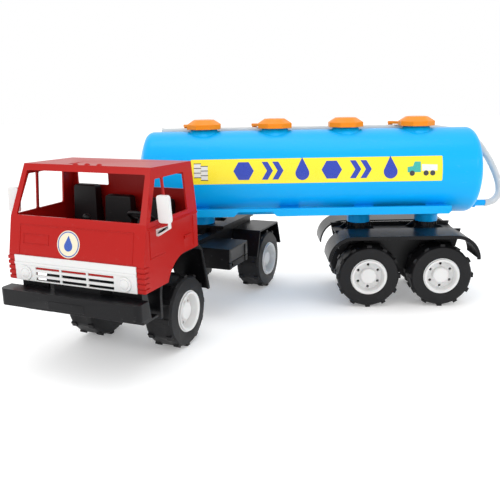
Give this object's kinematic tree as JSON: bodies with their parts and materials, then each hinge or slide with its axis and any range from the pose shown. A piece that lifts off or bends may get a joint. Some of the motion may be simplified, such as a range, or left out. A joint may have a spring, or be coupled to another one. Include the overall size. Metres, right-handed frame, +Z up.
{
  "type": "toy tanker truck",
  "caption": "Toy cab-over tractor turned under a tank semi-trailer, with rolling axles, a kingpin swivel, lift-off filler caps and a top hose.",
  "frame": {"origin": "middle of the bounding box at the floor, measured without the hose", "axes": "+X along the trailer towards its rear, +Z up, near side at -Y"},
  "size_m": [0.7205, 0.5236, 0.2915],
  "materials": {
    "tank_blue": "gloss, moulded",
    "hose_clear": "clear soft tube",
    "cap_orange": "satin, moulded",
    "steel": "bright",
    "tyre_black": "matt, fine texture",
    "white_plastic": "gloss, moulded",
    "cab_red": "gloss, moulded",
    "interior_black": "satin, moulded",
    "gloss_black": "gloss, moulded",
    "frame_black": "satin, moulded"
  },
  "bodies": {
    "trailer": {"tank_shell": "tank_blue", "tank_cradle": "tank_blue", "kingpin": "steel", "drain_spigot": "tank_blue", "filler_neck_1": "tank_blue", "filler_neck_2": "tank_blue", "filler_neck_3": "tank_blue", "filler_neck_4": "tank_blue", "fuel_hose": "hose_clear", "bogie_frame": "frame_black", "bogie_guard_left": "gloss_black", "bogie_guard_right": "gloss_black", "leg_screws": "steel"},
    "tractor": {"chassis_frame": "frame_black", "fifth_wheel_plate": "frame_black", "plate_screws": "steel", "front_bumper": "gloss_black", "cab_shell": "cab_red", "cab_interior": "interior_black", "steering_wheel": "interior_black", "cab_screws": "steel", "grille_panel": "white_plastic", "mirror_left": "white_plastic", "mirror_right": "white_plastic", "front_guard_left": "gloss_black", "front_guard_right": "gloss_black", "step_left": "frame_black", "step_right": "frame_black", "side_box_left": "frame_black", "side_box_right": "frame_black", "rear_guard_left": "gloss_black", "rear_guard_right": "gloss_black"},
    "tractor_front_axle": {"front_axle_rod": "steel", "front_tyre_left": "tyre_black", "front_tyre_right": "tyre_black", "front_hub_left": "white_plastic", "front_hub_right": "white_plastic"},
    "tractor_drive_axle": {"drive_axle_rod": "steel", "drive_tyre_left": "tyre_black", "drive_tyre_right": "tyre_black", "drive_hub_left": "white_plastic", "drive_hub_right": "white_plastic"},
    "bogie_front_axle": {"bogie_front_rod": "steel", "bogie_front_tyre_left": "tyre_black", "bogie_front_tyre_right": "tyre_black", "bogie_front_hub_left": "white_plastic", "bogie_front_hub_right": "white_plastic"},
    "bogie_rear_axle": {"bogie_rear_rod": "steel", "bogie_rear_tyre_left": "tyre_black", "bogie_rear_tyre_right": "tyre_black", "bogie_rear_hub_left": "white_plastic", "bogie_rear_hub_right": "white_plastic"},
    "cap_1": {"fill_cap_1": "cap_orange"},
    "cap_2": {"fill_cap_2": "cap_orange"},
    "cap_3": {"fill_cap_3": "cap_orange"},
    "cap_4": {"fill_cap_4": "cap_orange"}
  },
  "joints": [
    {"name": "kingpin_swivel", "type": "hinge", "parent": "trailer", "child": "tractor", "pos_m": [-0.11699, 0.09919, 0.12], "axis": [0, 0, 1], "range_deg": [-187, 53]},
    {"name": "front_axle_spin", "type": "hinge", "parent": "tractor", "child": "tractor_front_axle", "pos_m": [-0.19748, -0.09043, 0.05], "axis": [0.9205, -0.3907, 0], "continuous": true},
    {"name": "drive_axle_spin", "type": "hinge", "parent": "tractor", "child": "tractor_drive_axle", "pos_m": [-0.08378, 0.17743, 0.05], "axis": [0.9205, -0.3907, 0], "continuous": true},
    {"name": "bogie_front_spin", "type": "hinge", "parent": "trailer", "child": "bogie_front_axle", "pos_m": [0.14551, 0.09919, 0.05], "axis": [0, 1, 0], "continuous": true},
    {"name": "bogie_rear_spin", "type": "hinge", "parent": "trailer", "child": "bogie_rear_axle", "pos_m": [0.25851, 0.09919, 0.05], "axis": [0, 1, 0], "continuous": true},
    {"name": "cap_1_lift", "type": "slide", "parent": "trailer", "child": "cap_1", "axis": [0, 0, 1], "range_m": [0, 0.04]},
    {"name": "cap_2_lift", "type": "slide", "parent": "trailer", "child": "cap_2", "axis": [0, 0, 1], "range_m": [0, 0.04]},
    {"name": "cap_3_lift", "type": "slide", "parent": "trailer", "child": "cap_3", "axis": [0, 0, 1], "range_m": [0, 0.04]},
    {"name": "cap_4_lift", "type": "slide", "parent": "trailer", "child": "cap_4", "axis": [0, 0, 1], "range_m": [0, 0.04]}
  ]
}
